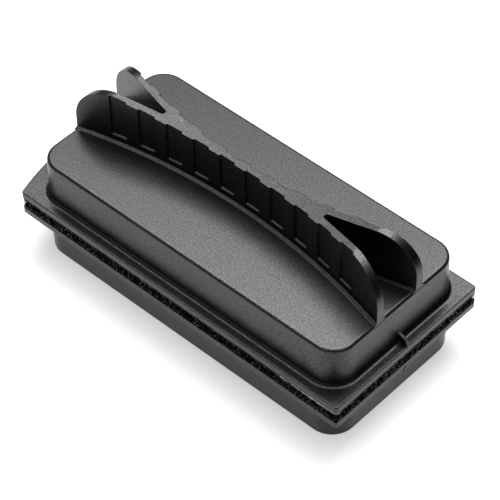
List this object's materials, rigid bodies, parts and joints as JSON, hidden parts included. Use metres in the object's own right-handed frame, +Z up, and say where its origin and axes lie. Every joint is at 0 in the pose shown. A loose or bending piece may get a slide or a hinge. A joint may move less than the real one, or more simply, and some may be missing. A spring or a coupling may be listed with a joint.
{
  "type": "magnetic glass cleaner",
  "caption": "Two magnet-loaded black plastic halves with fabric pads that clamp an aquarium pane between them and are slid by a fluted finger grip to wipe it.",
  "frame": {"origin": "centre of the flat underside of the scrubber half, on which the closed cleaner rests", "axes": "+X along the body towards the square end of the flange, +Y across it, +Z up through the pads to the finger grip"},
  "size_m": [0.1251, 0.0586, 0.0517],
  "materials": {
    "moulded_black": "fine-grained satin black moulded ABS",
    "face_plate_black": "plain black sheet plastic",
    "ferrite": "ground dark grey ferrite",
    "yoke_steel": "zinc-plated mild steel",
    "foam": "closed-cell foam",
    "seal_rubber": "soft black rubber",
    "adhesive_film": "translucent acrylic adhesive",
    "pad_backing": "woven nylon tape",
    "loop_pile": "soft brushed nylon loops",
    "hook_pile": "stiff nylon hooks"
  },
  "bodies": {
    "scrubber_half": {"scrubber_housing": "moulded_black", "scrubber_face_plate": "face_plate_black", "scrubber_seal_ring": "seal_rubber", "scrubber_yoke_plate": "yoke_steel", "scrubber_magnet_1": "ferrite", "scrubber_magnet_2": "ferrite", "scrubber_magnet_3": "ferrite", "scrubber_magnet_4": "ferrite", "scrubber_foam_shim": "foam", "scrubber_pad_adhesive": "adhesive_film", "scrubber_pad_backing": "pad_backing", "scrubber_hook_pile": "hook_pile"},
    "handle_half": {"handle_housing": "moulded_black", "handle_face_plate": "face_plate_black", "handle_yoke_plate": "yoke_steel", "handle_magnet_1": "ferrite", "handle_magnet_2": "ferrite", "handle_magnet_3": "ferrite", "handle_magnet_4": "ferrite", "handle_foam_shim": "foam", "handle_pad_adhesive": "adhesive_film", "handle_pad_backing": "pad_backing", "handle_loop_pile": "loop_pile"}
  },
  "joints": [
    {"name": "handle_lift", "type": "slide", "parent": "scrubber_half", "child": "handle_half", "axis": [0, 0, 1], "range_m": [0, 0.045]}
  ]
}
